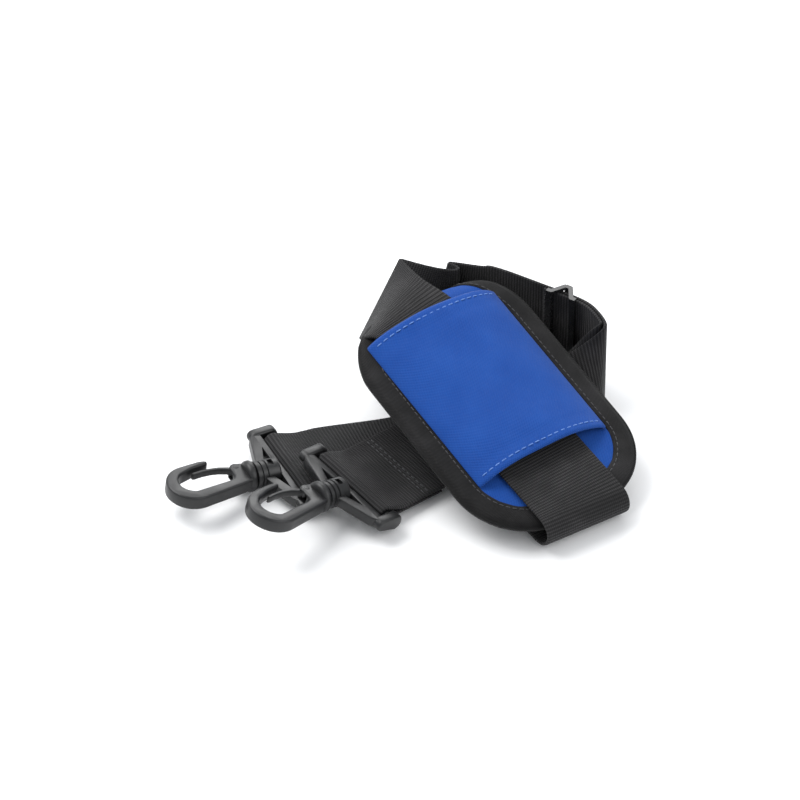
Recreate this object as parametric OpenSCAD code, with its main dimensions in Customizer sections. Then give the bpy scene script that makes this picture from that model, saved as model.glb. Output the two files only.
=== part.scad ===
// Padded shoulder strap: one length of 50 mm webbing with a swivel snap hook at each end,
// a tri-glide adjuster and a foam shoulder pad, lying folded on a level surface.
// Millimetres, +Z up. The origin is the bottom centre of the folded bundle's box.
// The strap's width runs across each run; the viewer stands on the -Y side.

/* [View] */
// Which sub-part to draw

/* [Webbing] */
// Width of the webbing
web_width = 50; // [38:0.5:60]
// Thickness of the webbing
web_thick = 1.8; // [1.2:0.1:2.6]
// Length of the sewn turn-back behind the front bar
turnback = 38; // [20:1:60]
// Distance from the front bar to the stitch line
stitch_back = 27; // [15:1:45]

/* [Hook] */
// Half thickness of the hook's flat body
hook_half = 4.2; // [3:0.1:6]
// Distance from the collar to the centre of the hook's bend
bend_reach = 34; // [24:0.5:44]
// Outer radius of the hook's bend
bend_outer = 13.6; // [11:0.1:18]
// Inner radius of the hook's bend
bend_inner = 7; // [5:0.1:9]
// Radius of the collar flange
collar_r = 8.4; // [7:0.1:10]
// Radius of the swivel stem
stem_r = 3.95; // [3:0.05:5]
// Running clearance of stems and gate pins
running = 0.05; // [0.02:0.01:0.1]
// Thickness of the gate leaf
leaf_thick = 1.7; // [1:0.1:2.5]

/* [Swivel base] */
// Radius of the barrel
barrel_r = 7.2; // [6:0.1:9]
// Length of the barrel
barrel_len = 13.4; // [10:0.1:18]
// Distance from the collar to the webbing bar
bar_back = 22.5; // [20:0.5:28]
// Radius of the webbing bar
bar_r = 2.5; // [2:0.1:3]
// Half width of the webbing slot
slot_half = 27; // [25.5:0.5:31]
// Thickness of each ear
ear_thick = 5.6; // [4:0.1:8]

/* [Adjuster] */
// Length of the tri-glide along the strap
glide_len = 17; // [14:1:24]
// Thickness of the tri-glide's bars
glide_bar = 2.5; // [2:0.1:3]
// Distance from the webbing's free end to the tri-glide's centre
glide_at = 11.4; // [9:0.1:12]

/* [Pad] */
// Width of the pad
pad_width = 104; // [90:1:130]
// Distance from the pad's centre to its lower end
pad_low = 88; // [70:1:110]
// Distance from the pad's centre to where it bends over
pad_crest = 54; // [50:1:70]
// Radius of the pad's corners
pad_corner = 38; // [20:1:50]
// Radius of the pad's corner under the webbing
pad_corner_far = 45; // [20:1:55]
// Thickness of the foam
foam_thick = 6; // [4:0.5:10]
// Thickness of each cover panel
panel_thick = 0.8; // [0.4:0.1:1.2]
// Width of the edge binding on each face
binding_width = 11; // [8:0.5:18]
// Outer radius of the pad's bend at its upper end
droop_r = 13; // [11:0.5:25]
// Angle through which the upper end bends down
droop_turn = 80; // [30:1:90]
// Straight length beyond the bend
droop_end = 12; // [4:1:30]
// Half width of the sleeve
sleeve_half = 40.4; // [30:0.5:50]
// Half length of the sleeve
sleeve_reach = 51; // [30:1:60]
// Height of the sleeve's crown
sleeve_crown = 12.5; // [6:0.5:16]
// Thickness of the sleeve fabric
sleeve_thick = 0.9; // [0.6:0.1:1.5]

/* [Layout] */
// Centre of the pad's top face
pad_centre = [43.4, -33.5, 38]; // [-200:0.1:200]
// Turn of the pad about the vertical
pad_azimuth = 35.8; // [0:0.1:90]
// Pitch of the pad
pad_pitch = 14.6; // [0:0.1:30]
// Turn of the webbing inside the sleeve
strap_yaw = 2.3; // [-15:0.1:15]
// Sideways shift of the webbing at the pad's centre
strap_shift = -5; // [-15:0.1:15]
// Swivel centre of the front hook
front_at = [-39.5, -96.2, 17.1]; // [-200:0.1:200]
// Turn of the front hook: roll, pitch, azimuth
front_turn = [6, 15.6, 41.5]; // [-180:0.1:180]
// Swivel centre of the rear hook
rear_at = [-75.5, -71.1, 9.1]; // [-200:0.1:200]
// Turn of the rear hook: roll, pitch, azimuth
rear_turn = [0, 8, 26]; // [-180:0.1:180]
// Shift that brings the box centre to the origin
origin_shift = [-0.568, 36.905, -0.049]; // [-200:0.001:200]

/* [Hidden] */
$fn = 48;
webbing_black = [0.07, 0.07, 0.08];
plastic_grey = [0.16, 0.17, 0.19];
fabric_blue = [0.05, 0.22, 0.62];
thread_blue = [0.45, 0.62, 0.92];
thread_black = [0.12, 0.12, 0.13];
foam_grey = [0.3, 0.3, 0.32];

loop_r = bar_r + 0.4 + web_thick / 2;
lay = web_thick / 2 + 0.15;

// ---- small helpers ------------------------------------------------------
function unit(v) = v / norm(v);
function arc(c, r, from, to, n) =
  [for (i = [0 : n]) c + r * [cos(from + (to - from) * i / n), sin(from + (to - from) * i / n)]];
function heading(p, i) = unit(p[min(i + 1, len(p) - 1)] - p[max(i - 1, 0)]);
function side(p, i, d) = p[i] + d * [-heading(p, i)[1], heading(p, i)[0]];
function frame_of(o, ex, ey, ez) = [
  [ex[0], ey[0], ez[0], o[0]],
  [ex[1], ey[1], ez[1], o[1]],
  [ex[2], ey[2], ez[2], o[2]],
  [0, 0, 0, 1]];

// A thin band that follows a plane path, as a flat shape
module band(path, t) {
  n = len(path) - 1;
  polygon(concat(
    [for (i = [0 : n]) side(path, i, t / 2)],
    [for (i = [n : -1 : 0]) side(path, i, -t / 2)]));
}

// A run of webbing through a list of edges, each given as the two ends of a line across the strap;
// back picks which diagonal its twisted quads bend along. Its ends stop a little short, so that it doesn't run into its neighbour.
function middle(edge) = (edge[0] + edge[1]) / 2;
function normal_at(edges, i) = unit(cross(
  middle(edges[min(i + 1, len(edges) - 1)]) - middle(edges[max(i - 1, 0)]), edges[i][1] - edges[i][0]));
function section(edge, n, t) = [edge[0] + n * t / 2, edge[1] + n * t / 2, edge[1] - n * t / 2, edge[0] - n * t / 2];
function moved(edge, to, d) = [
  edge[0] + d * unit(to[0] - edge[0]),
  edge[1] + d * unit(to[1] - edge[1])];
function shortened(edges, d) = [for (i = [0 : len(edges) - 1])
  i == 0 ? moved(edges[0], edges[1], d) :
  i == len(edges) - 1 ? moved(edges[i], edges[i - 1], d) : edges[i]];
module ribbon(edges, gap = 0.15, t = web_thick, back = false) {
  run = shortened(edges, gap);
  last = len(run) - 1;
  points = [for (i = [0 : last]) each section(run[i], normal_at(run, i), t)];
  // both faces of each quad are split along the same diagonal
  sides = [for (i = [0 : last - 1]) let (a = 4 * i, b = a + 4) each concat(
    back ? [[a, a + 1, b + 1], [a, b + 1, b], [a + 2, a + 3, b + 2], [a + 3, b + 3, b + 2]]
         : [[a, a + 1, b], [a + 1, b + 1, b], [a + 2, a + 3, b + 3], [a + 2, b + 3, b + 2]],
    [[a + 1, a + 2, b + 1], [a + 2, b + 2, b + 1], [a + 3, a, b + 3], [a, b, b + 3]])];
  polyhedron(points, concat(sides, [[3, 2, 1, 0], [for (k = [0 : 3]) 4 * last + k]]));
}
function part_of(edges, from, to) = [for (i = [from : to]) edges[i]];

// ---- frames -------------------------------------------------------------
module heap() translate(origin_shift) children();
module in_pad() heap() translate(pad_centre) rotate([pad_pitch, 0, pad_azimuth]) children();
module in_strap() in_pad() translate([strap_shift, 0, 0]) rotate([0, 0, strap_yaw]) children();
module in_front() heap() translate(front_at) rotate(front_turn) children();
module in_rear() heap() translate(rear_at) rotate(rear_turn) children();
function rx(a) = [[1, 0, 0], [0, cos(a), -sin(a)], [0, sin(a), cos(a)]];
function ry(a) = [[cos(a), 0, sin(a)], [0, 1, 0], [-sin(a), 0, cos(a)]];
function rz(a) = [[cos(a), -sin(a), 0], [sin(a), cos(a), 0], [0, 0, 1]];
function pad_point(p) = pad_centre + rz(pad_azimuth) * (rx(pad_pitch) * p);
function strap_point(p) = pad_point([strap_shift, 0, 0] + rz(strap_yaw) * p);
function hook_point(at, turn, p) = at + rz(turn[2]) * (ry(turn[1]) * (rx(turn[0]) * p));

// ---- swivel snap hook, drawn along +X from the collar to the webbing bar ----
hinge_at = [-7.6, 5.0];
leaf_end = [-bend_reach + 3.6, 8.6];

// The hook's flat outline; the inset shrinks it for the stepped edge
function hook_path(e) = concat(
  [[-2, -7.4 + e], [-9, -9.2 + e]],
  arc([-bend_reach, 0], bend_outer - e, 282, 90, 22),
  [[-bend_reach + 6, 14.4 - e], [-bend_reach + 13 - e, 14.4 - e], [-bend_reach + 14.4 - e, 12.4],
   [-bend_reach + 13 - e, 10.4 + e], [-bend_reach + 6, 10.4 + e], [-bend_reach + 1, 10.1 + e]],
  arc([-bend_reach + 2.6, 0.2], bend_inner + e, 118, 262, 14),
  [[-13, -3.6 - e], [-11 + e / 2, -1.6]],
  arc(hinge_at, 3.4 - e, 200, 60, 6),
  [[-2, 7.6 - e]]);

module snap_hook() {
  difference() {
    union() {
      for (s = [[0, 0.66], [0.35, 0.84], [0.8, 0.94], [1.3, 1]])
        translate([0, 0, -hook_half * s[1]])
          linear_extrude(2 * hook_half * s[1]) polygon(hook_path(s[0]));
      rotate([0, 90, 0]) {
        translate([0, 0, -3.4]) cylinder(h = 3, r = collar_r);
        translate([0, 0, -4.3]) cylinder(h = 1.2, r = collar_r - 1.1);
        translate([0, 0, -0.5]) cylinder(h = 1, r = stem_r + 1.2);
        cylinder(h = 11.4, r = stem_r);
      }
    }
    translate([hinge_at[0], hinge_at[1], -hook_half - 1])
      cylinder(h = 2 * hook_half + 2, r = 1.5 + running);
    translate([hinge_at[0] - 9, hinge_at[1] - 5.4, -3.1])
      cube([11.8, 12, 6.2]);
  }
}

module gate() {
  translate([0, 0, -2.7])
    linear_extrude(5.4) {
      band([hinge_at, [-10.6, 7.2], [-16, 8.4], [-22, 8.9], leaf_end], leaf_thick);
      translate(leaf_end) circle(leaf_thick / 2 + 0.1);
      translate(hinge_at) circle(2.1);
    }
  translate([hinge_at[0], hinge_at[1], -hook_half]) cylinder(h = 2 * hook_half, r = 1.5);
}

function ear_path(e) = concat(
  arc([14.6, 0], 3.2 - e, 260, 100, 8),
  arc([bar_back + 0.2, 0], 4.6 - e, 80, -80, 10));

module swivel_base() {
  difference() {
    union() {
      rotate([0, 90, 0]) {
        translate([0, 0, 0.4]) cylinder(h = barrel_len, r = barrel_r - 0.5);
        for (ring = [[0.4, 2.2], [3.4, 2.2], [6.4, 7.4]])
          translate([0, 0, ring[0]]) cylinder(h = ring[1], r = barrel_r);
      }
      for (m = [0, 1]) mirror([0, m, 0]) {
        translate([0, 0, -3]) linear_extrude(6)
          polygon([[4.2, 5.8], [9, 5.8], [13.2, 18], [13.2, 5], [17.2, 5], [17.2, slot_half + 1],
            [12.4, slot_half + 2.6], [10.4, 26.5]]);
        translate([0, slot_half, 0]) rotate([-90, 0, 0]) {
          linear_extrude(ear_thick - 0.8) polygon(ear_path(0));
          linear_extrude(ear_thick - 0.3) polygon(ear_path(0.5));
          linear_extrude(ear_thick) polygon(ear_path(1.1));
        }
      }
      translate([13.2, -slot_half - 1, -3]) cube([4, 2 * slot_half + 2, 6]);
      translate([bar_back, slot_half + 1, 0]) rotate([90, 0, 0])
        cylinder(h = 2 * slot_half + 2, r = bar_r);
    }
    rotate([0, 90, 0]) {
      cylinder(h = 11.8, r = stem_r + running);
      translate([0, 0, -0.2]) cylinder(h = 1.2, r = stem_r + 1.7);
    }
    translate([7.4, -2.2, 2]) cube([2.6, 4.4, 7]);
  }
}

// ---- webbing --------------------------------------------------------------
// Loop round a bar at the origin of the frame, both layers leading off along +X and curving up
function bar_loop(lower, upper, rise) = concat(
  [for (x = [lower, (lower + 17) / 2, 17]) [x, rise * (x - 13) - lay], [12, -lay]],
  arc([0, 0], loop_r, -78, -282, 16),
  [[12, lay], for (x = [17, (upper + 17) / 2, upper]) [x, rise * (x - 13) + lay]]);

module flat_webbing(path) {
  translate([0, web_width / 2, 0]) rotate([90, 0, 0])
    linear_extrude(web_width) band(path, web_thick);
}

// Edges of the runs, each from its low or near corner to its high or far corner
front_reach = 44;
front_rise = 0.24;
front_lift = front_rise * (front_reach - 13) + lay;
function front_edge(x, z) = [
  hook_point(front_at, front_turn, [bar_back + x, -web_width / 2, z]),
  hook_point(front_at, front_turn, [bar_back + x, web_width / 2, z])];
rear_reach = 26;
rear_rise = 0.06;
function rear_edge(x, z) = [
  hook_point(rear_at, rear_turn, [bar_back + x, -web_width / 2, z]),
  hook_point(rear_at, rear_turn, [bar_back + x, web_width / 2, z])];

// Centre of the fold's turn along the strap, a little inside the pad's lower end
fold_at = -pad_low + 1;

// Front run: from the sewn end, under the pad, turned over to the fold at the pad's lower end
fold_r = 8.2;
top_gap = web_thick / 2 + 1.6;
fold_low = strap_point([-web_width / 2, fold_at, top_gap - 2 * fold_r]);
fold_high = strap_point([web_width / 2, fold_at, top_gap - 2 * fold_r]);
front_run = [
  front_edge(front_reach, front_lift),
  [[40, -59, 7], [5, -23.4, 10.6]]];
under_run = [
  [[40, -59, 7], [5, -23.4, 10.6]],
  [[75.4, -27.9, 11.4], [8.6, -20.1, 11]],
  [[76, -25.4, 13.4], [9.2, -17.6, 13]],
  [[75.4, -27.9, 15.2], [8.6, -20.1, 15]],
  [[89.8, -58.7, 11.4], [49, -87.5, 7.6]],
  [fold_high, fold_low]];

// Run over the pad's upper end, down behind it and back along the rear
function strap_edge(y, z) = [strap_point([-web_width / 2, y, z]), strap_point([web_width / 2, y, z])];
over_run = concat(
  [for (p = arc([fold_at, top_gap - fold_r], fold_r, 270, 98, 10)) strap_edge(p[0], p[1])],
  [for (y = [-pad_low + 8, -pad_low + 40, 0, pad_crest - 30, pad_crest - 3]) strap_edge(y, top_gap)], [
  [pad_point([-35.5, 66.6, 1.8]), pad_point([13.5, 74, 0.8])]]);
behind_run = [
  [pad_point([-35.5, 66.6, 1.8]), pad_point([13.5, 74, 0.8])],
  [[-21, 17.2, 26.8], [-0.2, 52.1, 53.4]],
  [[-1, 32, 12], [18, 48.4, 50]],
  [[26, 45.2, 1.6], [28, 46.2, 50]]];
return_run = [
  [[26, 45.2, 1.6], [28, 46.2, 50]],
  [[29.5, 47, 1.6], [31, 48, 50]],
  [[27, 49.8, 1.6], [29.5, 50.2, 50]],
  [[10, 57, 4], [23.3, 54.2, 50]],
  [[44.5, 48.4, 1], [44.5, 48.4, 50.4]]];

// Rear pass, standing on edge, in plan
stand_low = 2.6;
stand_high = stand_low + web_width - 0.4;
rear_path = [[45.8, 47.9], [56, 43], [67.5, 36], [79.2, 29], [93.5, 20.3], [99.2, 15], [103, 8.6],
  [105.6, 2.6], [106.4, -1.2], [105.4, -4.2]];
nest = web_thick + 0.5;
inner_path = concat([[75.27, 28.69]], [for (i = [3 : 7]) side(rear_path, i, -nest)], [[103.8, 0.6], [103.1, -1]]);
outer_run = [
  [[105.4, -4.2, stand_low], [105.4, -4.2, stand_high]],
  [[105.8, -15, 2.6], [99, -2, 43]],
  [[98.6, -31, 4.4], [86, 3, 27]],
  [[69, -37, 4.2], [52, 7, 5.6]],
  [[38, -54, 3.5], [21, -9, 3.5]],
  [[7, -64, 3.3], [-5, -19, 3.3]],
  rear_edge(rear_reach, rear_rise * (rear_reach - 13) + lay)];
inner_run = [
  [[103.1, -1, stand_low], [103.1, -1, stand_high]],
  [[103.4, -10.8, 2.2], [96.4, 2.6, 42.6]],
  [[96.4, -29.4, 1.6], [85.6, 5.8, 24.2]],
  [[69, -37, 1.1], [52, 7, 2.4]],
  [[38, -54, 1.1], [21, -9, 1.1]],
  [[7, -64, 1.1], [-5, -19, 1.1]],
  rear_edge(rear_reach, rear_rise * (rear_reach - 13) - lay)];

function standing(path) = [for (p = path) [[p[0], p[1], stand_low], [p[0], p[1], stand_high]]];

// Sewn front end, round the front hook's bar
module webbing_front_end() color(webbing_black)
  in_front() translate([bar_back, 0, 0])
    flat_webbing(bar_loop(turnback, front_reach, front_rise));

// Front run under the pad to the hidden turn
module webbing_front_run() color(webbing_black) heap() ribbon(front_run);

// From the hidden turn to the fold at the pad's lower end
module webbing_under_run() color(webbing_black) heap() ribbon(under_run);

// Up over the pad, through the sleeve and down behind its upper end
module webbing_over_pad() color(webbing_black) heap() ribbon(over_run);

// Behind the pad's upper end to the second hidden turn and back
module webbing_rear_fold() color(webbing_black) heap()
  ribbon(concat(behind_run, part_of(return_run, 1, len(return_run) - 1)));

// Standing pass with the corner at the right, leaning over as it goes under the pad
module webbing_rear_pass() color(webbing_black) heap()
  ribbon(concat(standing(rear_path), part_of(outer_run, 1, 2)), back = true);

// Lying flat under the pad towards the rear hook
module webbing_outer_run() color(webbing_black) heap() ribbon(part_of(outer_run, 2, 6), back = true);

// Round the rear hook's bar
module webbing_rear_end() color(webbing_black)
  in_rear() translate([bar_back, 0, 0])
    flat_webbing(bar_loop(rear_reach, rear_reach, rear_rise));

// The doubled end's lower layer, back under the outer run
module webbing_inner_run() color(webbing_black) heap() ribbon(part_of(inner_run, 2, 6), back = true);

// Up inside the standing pass to the free tail
module webbing_return_tail() color(webbing_black) heap()
  ribbon(concat(standing(inner_path), part_of(inner_run, 1, 2)), back = true);

// Line of stitches that holds the front turn-back
module front_turnback_stitching() color(thread_black) in_front()
  translate([bar_back + stitch_back - 0.5, -web_width / 2 + 2, front_rise * (stitch_back - 13) + lay])
    rotate([0, -atan(front_rise), 0])
      translate([0, 0, web_thick / 2 + 0.03]) cube([0.8, web_width - 4, 0.35]);

// Box of stitches on the hemmed tail
module tail_box_stitching() color(thread_black) heap() {
  away = unit(inner_path[1] - inner_path[0]);
  translate([inner_path[0][0], inner_path[0][1], 27.4])
    rotate([90, 0, atan2(away[1], away[0])])
      translate([2, 0, web_thick / 2 + 0.03]) linear_extrude(0.3) difference() {
        translate([-1.5, -23]) square([2.2, 46]);
        translate([-0.9, -22.4]) square([1, 44.8]);
      }
}

// ---- pad ------------------------------------------------------------------
crest_end = pad_crest + droop_r + 4;

function pad_path(e) = concat(
  arc([-pad_width / 2 + pad_corner, -pad_low + pad_corner], pad_corner - e, 180, 270, 12),
  arc([pad_width / 2 - pad_corner, -pad_low + pad_corner], pad_corner - e, 270, 360, 12),
  arc([pad_width / 2 - pad_corner, crest_end - pad_corner], pad_corner - e, 0, 90, 12),
  arc([-pad_width / 2 + pad_corner_far, crest_end - pad_corner_far], pad_corner_far - e, 90, 180, 12));

// A layer of the pad between two heights, bent down beyond the crest
module pad_layer(low, high, e, half = pad_width) {
  translate([-half, -pad_low - 5, low]) cube([2 * half, pad_low + 5 + pad_crest, high - low]);
  translate([0, pad_crest, -droop_r]) rotate([0, -90, 0]) {
    rotate_extrude(angle = droop_turn)
      translate([droop_r + low, -half]) square([high - low, 2 * half]);
    rotate([0, 0, droop_turn])
      translate([droop_r + low, 0, -half]) cube([high - low, droop_end - e, 2 * half]);
  }
}

module shaped_layer(low, high, e) intersection() {
  pad_layer(low, high, e);
  translate([0, 0, -60]) linear_extrude(70) polygon(pad_path(e));
}

pad_top = 0;
foam_top = pad_top - panel_thick - 0.02;
foam_low = foam_top - foam_thick;
pad_low_face = foam_low - 0.02 - panel_thick;

module pad_foam() color(foam_grey) in_pad() shaped_layer(foam_low, foam_top, 3);
module pad_top_panel() color(fabric_blue) in_pad() shaped_layer(foam_top + 0.02, pad_top, 1);
module pad_back_panel() color(webbing_black) in_pad() shaped_layer(pad_low_face, foam_low - 0.02, 1);

// Tape folded round the edge: side wall, face flanges and strips over the bent upper end
module pad_edge_binding() color(webbing_black) in_pad() {
  for (r = [[pad_low_face - 0.8, pad_top + 0.8, 0.95], [pad_low_face - 0.8, pad_low_face - 0.03, binding_width],
            [pad_top + 0.03, pad_top + 0.8, binding_width]])
    translate([0, 0, r[0]]) linear_extrude(r[1] - r[0]) difference() {
      polygon(pad_path(0));
      polygon(pad_path(r[2]));
      translate([-pad_width, pad_crest]) square([2 * pad_width, 60]);
    }
  translate([0, pad_crest, -droop_r]) rotate([0, -90, 0])
    for (m = [0, 1]) mirror([0, 0, m])
      rotate_extrude(angle = droop_turn)
        translate([droop_r + 0.03, 30]) square([0.77, 9]);
}

sleeve_r = (sleeve_half * sleeve_half + sleeve_crown * sleeve_crown) / (2 * sleeve_crown);

module sleeve_arc(inner, outer, length, half = sleeve_half) {
  translate([0, length / 2, sleeve_crown - sleeve_r]) rotate([90, 0, 0])
    linear_extrude(length) intersection() {
      difference() {
        circle(outer, $fn = 180);
        circle(inner, $fn = 180);
      }
      translate([-half, sleeve_r - sleeve_crown + 0.05])
        square([2 * half, sleeve_crown + 5]);
    }
}

module pad_sleeve() color(fabric_blue) in_pad()
  sleeve_arc(sleeve_r - sleeve_thick, sleeve_r, 2 * sleeve_reach);

module sleeve_stitching(at) color(thread_blue) in_pad()
  translate([0, at, 0]) sleeve_arc(sleeve_r + 0.03, sleeve_r + 0.33, 0.6, sleeve_half - 4);
module sleeve_stitching_upper() sleeve_stitching(sleeve_reach - 3.5);
module sleeve_stitching_lower() sleeve_stitching(-sleeve_reach + 3.5);

module binding_stitching() color(thread_black) in_pad()
  translate([0, 0, pad_top + 0.83]) linear_extrude(0.3) difference() {
    polygon(pad_path(binding_width - 2.6));
    polygon(pad_path(binding_width - 2.1));
    translate([-pad_width, pad_crest - 1]) square([2 * pad_width, 60]);
  }

// ---- adjuster ---------------------------------------------------------------
// Frame stands across the rear pass, with two bars in front of both layers and one behind
glide_bar_width = 3;
module triglide() color(plastic_grey) heap() {
  a = inner_path[0];
  away = unit(inner_path[1] - a);
  front = -web_thick / 2 - 0.4 - glide_bar / 2;
  back = nest + web_thick / 2 + 0.4 + glide_bar / 2;
  end_bar = (glide_len - glide_bar_width) / 2;
  rail_height = stand_low - 0.7;
  top = stand_high + 0.35;
  translate([a[0] + glide_at * away[0], a[1] + glide_at * away[1], 0.3])
    rotate([0, 0, atan2(away[1], away[0])]) {
      for (z = [0, top - 0.3])
        translate([0, 0, z]) linear_extrude(rail_height)
          band([[end_bar + 1.5, front], [end_bar - 1, front], [1.5, back], [-1.5, back], [1 - end_bar, front],
            [-end_bar - 1.5, front]], glide_bar);
      for (bar = [[end_bar, front], [0, back], [-end_bar, front]])
        translate([bar[0] - glide_bar_width / 2, bar[1] - glide_bar / 2, 0])
          cube([glide_bar_width, glide_bar, top - 0.3 + rail_height]);
    }
}

module front_swivel_base() color(plastic_grey) in_front() swivel_base();
module front_hook() color(plastic_grey) in_front() snap_hook();
module front_gate() color(plastic_grey) in_front() gate();
module rear_swivel_base() color(plastic_grey) in_rear() swivel_base();
module rear_hook() color(plastic_grey) in_rear() snap_hook();
module rear_gate() color(plastic_grey) in_rear() gate();

webbing_front_end();
webbing_front_run();
webbing_under_run();
webbing_over_pad();
webbing_rear_fold();
webbing_rear_pass();
webbing_outer_run();
webbing_rear_end();
webbing_inner_run();
webbing_return_tail();
front_turnback_stitching();
tail_box_stitching();
pad_foam();
pad_top_panel();
pad_back_panel();
pad_edge_binding();
pad_sleeve();
sleeve_stitching_upper();
sleeve_stitching_lower();
binding_stitching();
front_swivel_base();
front_hook();
front_gate();
rear_swivel_base();
rear_hook();
rear_gate();
triglide();
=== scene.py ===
"""Looks of the folded padded shoulder strap, built round its CAD frame.

The shapes are worked out in millimetres and turned into metres as each mesh is made. The materials,
lights and camera are in metres."""

import math
import random

import bmesh
import bpy
import numpy as np
from mathutils import Euler, Matrix, Vector


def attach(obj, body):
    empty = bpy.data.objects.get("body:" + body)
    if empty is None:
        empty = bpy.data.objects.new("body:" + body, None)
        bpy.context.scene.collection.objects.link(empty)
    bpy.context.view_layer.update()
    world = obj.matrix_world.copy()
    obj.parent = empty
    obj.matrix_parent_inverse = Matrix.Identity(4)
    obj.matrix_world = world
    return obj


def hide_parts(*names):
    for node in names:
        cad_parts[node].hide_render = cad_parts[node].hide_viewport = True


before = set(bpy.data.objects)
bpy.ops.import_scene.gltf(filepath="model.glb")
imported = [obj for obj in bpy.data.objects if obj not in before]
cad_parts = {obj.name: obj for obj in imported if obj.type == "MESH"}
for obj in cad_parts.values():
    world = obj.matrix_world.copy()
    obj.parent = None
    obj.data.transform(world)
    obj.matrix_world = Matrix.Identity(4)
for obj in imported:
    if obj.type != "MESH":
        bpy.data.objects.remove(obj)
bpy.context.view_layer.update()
MM = 0.001
FULL_TURN = 6.28
random.seed(7)

# ---- layout, as in the CAD source --------------------------------------------
ORIGIN_SHIFT = Vector((-0.568, 36.905, -0.049))
# the webbing, and the bar at each hook that it loops round
WEB_WIDTH = 50.0
WEB_THICK = 1.8
BAR_R = 2.5
BAR_BACK = 22.5
LOOP_R = BAR_R + 0.4 + WEB_THICK / 2
LAY = WEB_THICK / 2 + 0.15
# how far the webbing's layers run behind each bar, and how steeply they rise
TURNBACK = 38.0
STITCH_BACK = 27.0
FRONT_REACH, FRONT_RISE = 44.0, 0.24
REAR_REACH, REAR_RISE = 26.0, 0.06
# the pad: its lower end, the crest where its upper end bends down, half width and corners
PAD_LOW = 88.0
PAD_CREST = 54.0
PAD_HALF = 52.0
PAD_CORNER = 38.0
PAD_CORNER_FAR = 48.0
DROOP_R = 13.0
DROOP_TURN = math.radians(80)
# the webbing's fold over the pad's lower end, its height on the pad, and the standing pass behind it
FOLD_R = 8.2
FOLD_AT = -PAD_LOW + 1
TOP_GAP = WEB_THICK / 2 + 1.6
STAND_LOW, STAND_HIGH = 2.6, 52.2
NEST = WEB_THICK + 0.5
# the sleeve: half width, shift across and along the pad, half length and height
SLEEVE_HALF = 40.0
SLEEVE_SIDE = -0.4
SLEEVE_DOWN = -2.2
SLEEVE_REACH = 51.0
SLEEVE_CROWN = 12.3
SLEEVE_THICK = 0.9


def turn(roll, pitch, azimuth):
    """A rotation about X, then Y, then Z, in degrees."""
    return Euler([math.radians(a) for a in (roll, pitch, azimuth)], "XYZ").to_matrix().to_4x4()


# the frames that the layout is drawn in, each turned into the row frame
HEAP = Matrix.Translation(ORIGIN_SHIFT)
PAD = HEAP @ Matrix.Translation((43.4, -33.5, 38)) @ turn(14.6, 0, 35.8)
STRAP = PAD @ Matrix.Translation((-5, 0, 0)) @ turn(0, 0, 2.3)
FRONT = HEAP @ Matrix.Translation((-39.5, -96.2, 17.1)) @ turn(6, 15.6, 41.5)
REAR = HEAP @ Matrix.Translation((-75.5, -71.1, 9.1)) @ turn(0, 8, 26)


def placed(matrix, point):
    """A point of one of the layout's frames in the row frame."""
    return np.array(matrix @ Vector(point))


# ---- mesh helpers --------------------------------------------------------------
# in metres
WELD = 0.00001
TINY_EDGE = 0.000005
# in millimetres and steps
RUN_STEP = 3.0
TURN_STEPS = 5
SHORTEST_RUN = 0.05


def new_piece(name, points, faces, materials, uv=None):
    """A mesh object in metres from points and flat coordinates in millimetres."""
    mesh = bpy.data.meshes.new(name)
    mesh.from_pydata([tuple(float(c) * MM for c in p) for p in points], [], faces)
    if uv is not None:
        layer = mesh.uv_layers.new(name="flat")
        for loop in mesh.loops:
            layer.data[loop.index].uv = [c * MM for c in uv[loop.vertex_index]]
    work = bmesh.new()
    work.from_mesh(mesh)
    bmesh.ops.remove_doubles(work, verts=work.verts, dist=WELD)
    bmesh.ops.dissolve_degenerate(work, edges=work.edges, dist=TINY_EDGE)
    bmesh.ops.recalc_face_normals(work, faces=work.faces)
    for face in work.faces:
        face.smooth = True
    work.to_mesh(mesh)
    work.free()
    for material in materials:
        mesh.materials.append(material)
    obj = bpy.data.objects.new(name, mesh)
    bpy.context.scene.collection.objects.link(obj)
    return obj


def finish_piece(obj, body, slot, *nodes):
    """Puts a piece on its body and in place of its CAD nodes; its slot is not used."""
    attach(obj, body)
    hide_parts(*nodes)
    return obj


def unit(vectors):
    """The vectors scaled to length 1."""
    return vectors / np.maximum(np.linalg.norm(vectors, axis=-1, keepdims=True), 1e-9)


def grid_normals(grid):
    """Normals of a surface given as rows and columns of points."""
    along = np.gradient(grid, axis=0)
    across = np.gradient(grid, axis=1)
    return unit(np.cross(along, across))


def slab(grid, half, flat):
    """Points, faces and flat coordinates of a closed slab; half is its half thickness at each point."""
    rows, columns = grid.shape[:2]
    offset = grid_normals(grid) * half[..., None]
    points = np.concatenate([(grid + offset).reshape(-1, 3), (grid - offset).reshape(-1, 3)])
    under = rows * columns
    faces = []
    for i in range(rows - 1):
        for j in range(columns - 1):
            a = i * columns + j
            b = a + columns
            faces.append((a, a + 1, b + 1, b))
            faces.append((under + a, under + b, under + b + 1, under + a + 1))
        for a in (i * columns, (i + 1) * columns - 1):
            b = a + columns
            faces.append((a, b, under + b, under + a))
    for a in (0, (rows - 1) * columns):
        for j in range(columns - 1):
            faces.append((a + j, a + j + 1, under + a + j + 1, under + a + j))
    return points, faces, np.concatenate([flat.reshape(-1, 2)] * 2)


def distances(points):
    """How far each point is along the line through them all."""
    return np.concatenate([[0], np.cumsum(np.linalg.norm(np.diff(points, axis=0), axis=1))])


def plan_arc(centre, radius, start, end, count):
    """Points on an arc in plan, from one angle in degrees to the other."""
    angles = [math.radians(a) for a in np.linspace(start, end, count)]
    return [(centre[0] + radius * math.cos(a), centre[1] + radius * math.sin(a)) for a in angles]


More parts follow.
